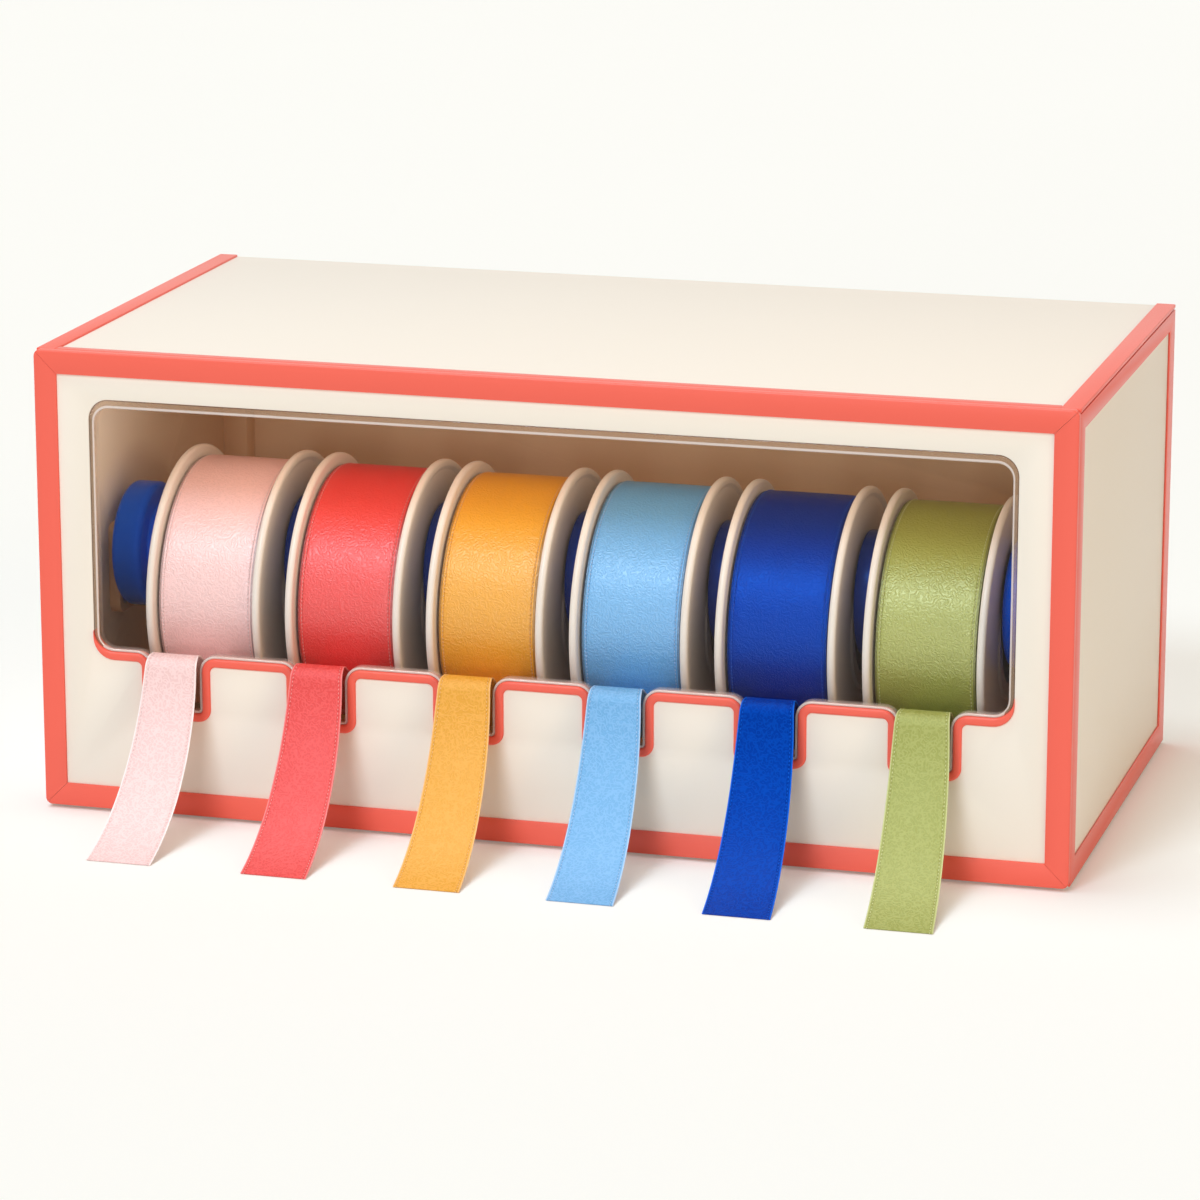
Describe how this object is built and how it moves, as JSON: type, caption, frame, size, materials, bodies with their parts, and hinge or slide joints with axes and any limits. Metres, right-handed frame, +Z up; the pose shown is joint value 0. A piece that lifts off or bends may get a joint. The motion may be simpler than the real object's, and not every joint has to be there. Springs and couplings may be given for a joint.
{
  "type": "ribbon spool dispenser",
  "caption": "Lidded counter box with a clear front window, ribbon spools on a removable spindle and ribbon ends led out over notches under the window.",
  "frame": {"origin": "on the counter, under the middle of the case (the middle of the non-slip sheet's underside)", "axes": "+X to the right along the spindle, +Y from the window to the back, +Z up"},
  "size_m": [0.4, 0.2717, 0.18],
  "materials": {
    "cream_board": "board with a smooth satin cream lacquer",
    "coral_trim": "satin coral edge trim",
    "clear_sheet": "clear polished acrylic sheet",
    "mat": "matt black non-slip sheet",
    "cradle": "satin moulded plastic",
    "screw_steel": "zinc-plated steel",
    "hinge_brass": "plain drawn brass",
    "rod_steel": "bright ground steel",
    "blue_hub": "satin royal blue plastic",
    "spool_white": "smooth warm white plastic",
    "ribbon_pink": "pale pink satin",
    "ribbon_red": "red satin",
    "ribbon_yellow": "golden yellow satin",
    "ribbon_light_blue": "light blue satin",
    "ribbon_royal_blue": "royal blue satin",
    "ribbon_green": "olive green satin"
  },
  "bodies": {
    "case": {"base_mat": "mat", "base_panel": "cream_board", "left_side_panel": "cream_board", "right_side_panel": "cream_board", "front_panel": "cream_board", "back_panel": "cream_board", "back_left_batten": "cream_board", "back_right_batten": "cream_board", "left_floor_cleat": "cream_board", "right_floor_cleat": "cream_board", "lid_rest_rail": "cream_board", "opening_trim": "coral_trim", "front_frame_top": "coral_trim", "front_frame_bottom": "coral_trim", "front_frame_left": "coral_trim", "front_frame_right": "coral_trim", "left_side_frame": "coral_trim", "right_side_frame": "coral_trim", "window_insert": "clear_sheet", "left_cradle": "cradle", "right_cradle": "cradle", "cradle_screws": "screw_steel", "case_screws": "screw_steel", "left_hinge_case_leaf": "hinge_brass", "right_hinge_case_leaf": "hinge_brass", "hinge_pins": "screw_steel", "ribbon_tail_1": "ribbon_pink", "ribbon_tail_2": "ribbon_red", "ribbon_tail_3": "ribbon_yellow", "ribbon_tail_4": "ribbon_light_blue", "ribbon_tail_5": "ribbon_royal_blue", "ribbon_tail_6": "ribbon_green"},
    "lid": {"lid_panel": "cream_board", "lid_left_trim": "coral_trim", "lid_right_trim": "coral_trim", "lid_front_trim": "coral_trim", "left_hinge_lid_leaf": "hinge_brass", "right_hinge_lid_leaf": "hinge_brass", "hinge_lid_screws": "screw_steel"},
    "spindle": {"spindle_rod": "rod_steel", "left_hub": "blue_hub", "right_hub": "blue_hub", "spacer_1": "blue_hub", "spacer_2": "blue_hub", "spacer_3": "blue_hub", "spacer_4": "blue_hub", "spacer_5": "blue_hub"},
    "reel_1": {"spool_1": "spool_white", "ribbon_roll_1": "ribbon_pink"},
    "reel_2": {"spool_2": "spool_white", "ribbon_roll_2": "ribbon_red"},
    "reel_3": {"spool_3": "spool_white", "ribbon_roll_3": "ribbon_yellow"},
    "reel_4": {"spool_4": "spool_white", "ribbon_roll_4": "ribbon_light_blue"},
    "reel_5": {"spool_5": "spool_white", "ribbon_roll_5": "ribbon_royal_blue"},
    "reel_6": {"spool_6": "spool_white", "ribbon_roll_6": "ribbon_green"}
  },
  "joints": [
    {"name": "lid_hinge", "type": "hinge", "parent": "case", "child": "lid", "pos_m": [0, 0.1056, 0.17095], "axis": [-1, 0, 0], "range_deg": [0, 205]},
    {"name": "spindle_lift", "type": "slide", "parent": "case", "child": "spindle", "axis": [0, 0, 1], "range_m": [0, 0.04]},
    {"name": "spool_1_spin", "type": "hinge", "parent": "spindle", "child": "reel_1", "pos_m": [-0.14075, -0.033, 0.0767], "axis": [1, 0, 0], "continuous": true},
    {"name": "spool_2_spin", "type": "hinge", "parent": "spindle", "child": "reel_2", "pos_m": [-0.08445, -0.033, 0.0767], "axis": [1, 0, 0], "continuous": true},
    {"name": "spool_3_spin", "type": "hinge", "parent": "spindle", "child": "reel_3", "pos_m": [-0.02815, -0.033, 0.0767], "axis": [1, 0, 0], "continuous": true},
    {"name": "spool_4_spin", "type": "hinge", "parent": "spindle", "child": "reel_4", "pos_m": [0.02815, -0.033, 0.0767], "axis": [1, 0, 0], "continuous": true},
    {"name": "spool_5_spin", "type": "hinge", "parent": "spindle", "child": "reel_5", "pos_m": [0.08445, -0.033, 0.0767], "axis": [1, 0, 0], "continuous": true},
    {"name": "spool_6_spin", "type": "hinge", "parent": "spindle", "child": "reel_6", "pos_m": [0.14075, -0.033, 0.0767], "axis": [1, 0, 0], "continuous": true}
  ]
}
